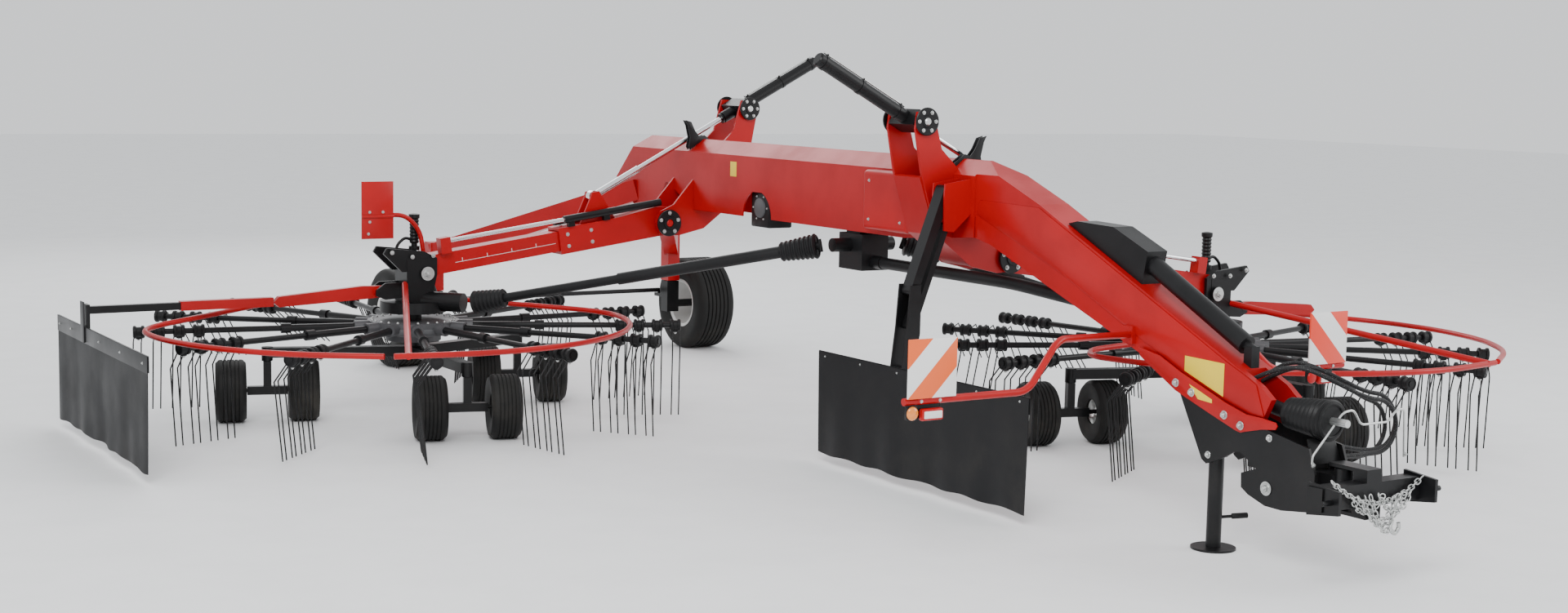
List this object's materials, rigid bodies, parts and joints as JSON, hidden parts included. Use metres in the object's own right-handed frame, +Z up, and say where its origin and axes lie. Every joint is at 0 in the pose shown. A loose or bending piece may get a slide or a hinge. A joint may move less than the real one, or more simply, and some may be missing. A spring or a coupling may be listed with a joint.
{
  "type": "folded rotary rake",
  "caption": "Trailed side-delivery hay rake with two tined rotors on sliding, folding arms, steered rear wheels and swath curtains.",
  "frame": {"origin": "the middle of the bottom of the bounding box, on the ground", "axes": "+Z up; -Y is the drawbar end; +X is the machine's left"},
  "size_m": [8.962, 9.96, 2.7009],
  "materials": {
    "frame_red": "gloss",
    "gear_black": "satin",
    "black_plastic": "matte",
    "hub_grey": "matte",
    "rod_steel": "polished",
    "zinc_steel": "satin",
    "tyre_rubber": "matte",
    "curtain_rubber": "matte",
    "hose_rubber": "matte",
    "board_paint": "satin"
  },
  "bodies": {
    "frame": {"main_frame": "frame_red", "side_covers": "black_plastic", "rear_axle": "frame_red", "transfer_gearbox": "gear_black", "input_shaft": "black_plastic", "hitch_plates": "gear_black", "drawbar_cylinder": "gear_black", "board_tubes": "gear_black", "warning_boards": "board_paint", "hose_first": "hose_rubber", "hose_second": "hose_rubber", "hose_third": "hose_rubber"},
    "jack": {"jack_leg": "zinc_steel"},
    "headstock": {"headstock": "frame_red"},
    "knuckle_right": {"knuckle_right": "gear_black"},
    "transport_wheel_right": {"transport_wheel_right": "tyre_rubber"},
    "knuckle_left": {"knuckle_left": "gear_black"},
    "transport_wheel_left": {"transport_wheel_left": "tyre_rubber"},
    "tie_rod": {"tie_rod": "gear_black"},
    "arm_outer_right": {"arm_sleeve_right": "frame_red", "reach_barrel_right": "gear_black"},
    "arm_inner_right": {"arm_tube_right": "frame_red", "carriage_right": "frame_red", "guard_hoop_right": "frame_red", "castor_legs_right": "gear_black"},
    "lift_barrel_right": {"lift_barrel_right": "gear_black"},
    "lift_rod_right": {"lift_rod_right": "rod_steel"},
    "shaft_front_right": {"shaft_front_right": "black_plastic"},
    "shaft_rear_right": {"shaft_rear_right": "black_plastic"},
    "rotor_right": {"rotor_hub_right": "hub_grey", "tine_arms_right": "gear_black"},
    "castor_right": {"castor_fork_right": "gear_black"},
    "castor_wheels_right_front": {"castor_wheels_right_front": "tyre_rubber"},
    "castor_wheels_right_outer": {"castor_wheels_right_outer": "tyre_rubber"},
    "castor_wheels_right_inner": {"castor_wheels_right_inner": "tyre_rubber"},
    "guard_wing_right": {"guard_wing_right": "frame_red", "curtain_bar": "frame_red"},
    "arm_outer_left": {"arm_sleeve_left": "frame_red", "reach_barrel_left": "gear_black"},
    "arm_inner_left": {"arm_tube_left": "frame_red", "carriage_left": "frame_red", "guard_hoop_left": "frame_red", "castor_legs_left": "gear_black"},
    "lift_barrel_left": {"lift_barrel_left": "gear_black"},
    "lift_rod_left": {"lift_rod_left": "rod_steel"},
    "shaft_front_left": {"shaft_front_left": "black_plastic"},
    "shaft_rear_left": {"shaft_rear_left": "black_plastic"},
    "rotor_left": {"rotor_hub_left": "hub_grey", "tine_arms_left": "gear_black"},
    "castor_left": {"castor_fork_left": "gear_black"},
    "castor_wheels_left_front": {"castor_wheels_left_front": "tyre_rubber"},
    "castor_wheels_left_outer": {"castor_wheels_left_outer": "tyre_rubber"},
    "castor_wheels_left_inner": {"castor_wheels_left_inner": "tyre_rubber"},
    "guard_wing_left": {"guard_wing_left": "frame_red"},
    "outer_curtain": {"curtain_slide": "frame_red", "outer_curtain": "curtain_rubber"},
    "curtain_link_upper": {"curtain_link_upper": "gear_black"},
    "curtain_link_lower": {"curtain_link_lower": "gear_black"},
    "middle_curtain": {"curtain_carrier": "gear_black", "middle_curtain": "curtain_rubber"}
  },
  "joints": [
    {"name": "jack_slide", "type": "slide", "parent": "frame", "child": "jack", "axis": [0, 0, 1], "range_m": [0, 0.3]},
    {"name": "headstock_swivel", "type": "hinge", "parent": "frame", "child": "headstock", "pos_m": [0.24087, -4.68, 0.5], "axis": [0, 0, 1], "range_deg": [-45, 45]},
    {"name": "steer_left", "type": "hinge", "parent": "frame", "child": "knuckle_left", "pos_m": [1.41087, 4.56, 0.7], "axis": [0, 0, 1], "range_deg": [-20, 20]},
    {"name": "steer_right", "type": "hinge", "parent": "frame", "child": "knuckle_right", "pos_m": [-0.92913, 4.56, 0.7], "axis": [0, 0, 1], "range_deg": [-20, 20]},
    {"name": "tie_rod_pivot", "type": "hinge", "parent": "knuckle_left", "child": "tie_rod", "pos_m": [1.41087, 4.77, 0.5], "axis": [0, 0, 1], "range_deg": [-20, 20]},
    {"name": "transport_wheel_turn_right", "type": "hinge", "parent": "knuckle_right", "child": "transport_wheel_right", "pos_m": [-1.20913, 4.56, 0.42], "axis": [1, 0, 0], "continuous": true},
    {"name": "transport_wheel_turn_left", "type": "hinge", "parent": "knuckle_left", "child": "transport_wheel_left", "pos_m": [1.69087, 4.56, 0.42], "axis": [1, 0, 0], "continuous": true},
    {"name": "arm_fold_right", "type": "hinge", "parent": "frame", "child": "arm_outer_right", "pos_m": [-0.10913, 2.05, 1.4], "axis": [0, 1, 0], "range_deg": [0, 85]},
    {"name": "arm_reach_right", "type": "slide", "parent": "arm_outer_right", "child": "arm_inner_right", "axis": [-0.99, 0, -0.1409], "range_m": [-0.8, 0]},
    {"name": "lift_barrel_turn_right", "type": "hinge", "parent": "frame", "child": "lift_barrel_right", "pos_m": [0.60587, 2.05, 2.285], "axis": [0, 1, 0], "range_deg": [-0.72, 0.5]},
    {"name": "lift_rod_slide_right", "type": "slide", "parent": "lift_barrel_right", "child": "lift_rod_right", "axis": [-0.8842, 0, -0.4672], "range_m": [-0.8216, 0]},
    {"name": "shaft_swing_right", "type": "hinge", "parent": "arm_outer_right", "child": "shaft_front_right", "pos_m": [-0.10913, -0.25, 1.4], "axis": [0.1394, -0.1436, -0.9798], "range_deg": [0, 16.19]},
    {"name": "shaft_slide_right", "type": "slide", "parent": "shaft_front_right", "child": "shaft_rear_right", "axis": [-0.6483, 0.7347, -0.1999], "range_m": [-0.4562, 0]},
    {"name": "rotor_turn_right", "type": "hinge", "parent": "arm_inner_right", "child": "rotor_right", "pos_m": [-2.13868, 2.05, 0.69], "axis": [0, 0, 1], "continuous": true},
    {"name": "castor_swivel_right", "type": "hinge", "parent": "arm_inner_right", "child": "castor_right", "pos_m": [-2.13868, 1.075, 0.45], "axis": [0, 0, 1], "continuous": true},
    {"name": "castor_roll_right_front", "type": "hinge", "parent": "castor_right", "child": "castor_wheels_right_front", "pos_m": [-2.13868, 1.075, 0.225], "axis": [0.9593, -0.2823, 0], "continuous": true},
    {"name": "castor_roll_right_outer", "type": "hinge", "parent": "arm_inner_right", "child": "castor_wheels_right_outer", "pos_m": [-3.12368, 2.38, 0.225], "axis": [0.9593, -0.2823, 0], "continuous": true},
    {"name": "castor_roll_right_inner", "type": "hinge", "parent": "arm_inner_right", "child": "castor_wheels_right_inner", "pos_m": [-1.15368, 2.38, 0.225], "axis": [0.9593, -0.2823, 0], "continuous": true},
    {"name": "wing_fold_right", "type": "hinge", "parent": "arm_inner_right", "child": "guard_wing_right", "pos_m": [-2.41368, 2.05, 0.94], "axis": [0, 1, 0], "range_deg": [0, 90]},
    {"name": "arm_fold_left", "type": "hinge", "parent": "frame", "child": "arm_outer_left", "pos_m": [0.59087, -1.29, 1.4], "axis": [0, -1, 0], "range_deg": [0, 85]},
    {"name": "arm_reach_left", "type": "slide", "parent": "arm_outer_left", "child": "arm_inner_left", "axis": [0.99, 0, -0.1409], "range_m": [-0.8, 0]},
    {"name": "lift_barrel_turn_left", "type": "hinge", "parent": "frame", "child": "lift_barrel_left", "pos_m": [-0.12413, -1.29, 2.285], "axis": [0, -1, 0], "range_deg": [-0.72, 0.5]},
    {"name": "lift_rod_slide_left", "type": "slide", "parent": "lift_barrel_left", "child": "lift_rod_left", "axis": [0.8842, 0, -0.4672], "range_m": [-0.8216, 0]},
    {"name": "shaft_swing_left", "type": "hinge", "parent": "arm_outer_left", "child": "shaft_front_left", "pos_m": [0.59087, -0.25, 1.4], "axis": [-0.132, 0.3507, -0.9271], "range_deg": [0, 19.3]},
    {"name": "shaft_slide_left", "type": "slide", "parent": "shaft_front_left", "child": "shaft_rear_left", "axis": [0.8454, -0.4485, -0.29], "range_m": [-0.6408, 0]},
    {"name": "rotor_turn_left", "type": "hinge", "parent": "arm_inner_left", "child": "rotor_left", "pos_m": [2.55111, -1.29, 0.69], "axis": [0, 0, 1], "continuous": true},
    {"name": "castor_swivel_left", "type": "hinge", "parent": "arm_inner_left", "child": "castor_left", "pos_m": [2.55111, -2.265, 0.45], "axis": [0, 0, 1], "continuous": true},
    {"name": "castor_roll_left_front", "type": "hinge", "parent": "castor_left", "child": "castor_wheels_left_front", "pos_m": [2.55111, -2.265, 0.225], "axis": [0.9593, -0.2823, 0], "continuous": true},
    {"name": "castor_roll_left_outer", "type": "hinge", "parent": "arm_inner_left", "child": "castor_wheels_left_outer", "pos_m": [3.53611, -0.96, 0.225], "axis": [0.9593, -0.2823, 0], "continuous": true},
    {"name": "castor_roll_left_inner", "type": "hinge", "parent": "arm_inner_left", "child": "castor_wheels_left_inner", "pos_m": [1.56611, -0.96, 0.225], "axis": [0.9593, -0.2823, 0], "continuous": true},
    {"name": "wing_fold_left", "type": "hinge", "parent": "arm_inner_left", "child": "guard_wing_left", "pos_m": [2.82611, -1.29, 0.94], "axis": [0, -1, 0], "range_deg": [0, 90]},
    {"name": "curtain_reach", "type": "slide", "parent": "guard_wing_right", "child": "outer_curtain", "axis": [-1, 0, 0], "range_m": [-0.25, 0.3]},
    {"name": "curtain_lift", "type": "hinge", "parent": "frame", "child": "curtain_link_upper", "pos_m": [-0.05913, -1.435, 1.86], "axis": [0, 1, 0], "range_deg": [0, 60]},
    {"name": "curtain_link_turn", "type": "hinge", "parent": "frame", "child": "curtain_link_lower", "pos_m": [-0.05913, -1.435, 1.635], "axis": [0, 1, 0], "range_deg": [0, 60]},
    {"name": "curtain_carrier_turn", "type": "hinge", "parent": "curtain_link_upper", "child": "middle_curtain", "pos_m": [-0.29913, -1.435, 1.23], "axis": [0, 1, 0], "range_deg": [-60, 0]}
  ],
  "couplings": [
    {"joint": "steer_right", "follows": "steer_left", "ratio": 1},
    {"joint": "tie_rod_pivot", "follows": "steer_left", "ratio": -1},
    {"joint": "lift_barrel_turn_right", "follows": "arm_fold_right", "ratio": -0.002571},
    {"joint": "lift_rod_slide_right", "follows": "arm_fold_right", "m_per_rad": -0.55247},
    {"joint": "shaft_swing_right", "follows": "arm_reach_right", "rad_per_m": -0.3422},
    {"joint": "shaft_slide_right", "follows": "arm_reach_right", "ratio": 0.56774},
    {"joint": "lift_barrel_turn_left", "follows": "arm_fold_left", "ratio": -0.002571},
    {"joint": "lift_rod_slide_left", "follows": "arm_fold_left", "m_per_rad": -0.55247},
    {"joint": "shaft_swing_left", "follows": "arm_reach_left", "rad_per_m": -0.41023},
    {"joint": "shaft_slide_left", "follows": "arm_reach_left", "ratio": 0.79853},
    {"joint": "curtain_link_turn", "follows": "curtain_lift", "ratio": 1},
    {"joint": "curtain_carrier_turn", "follows": "curtain_lift", "ratio": -1}
  ]
}
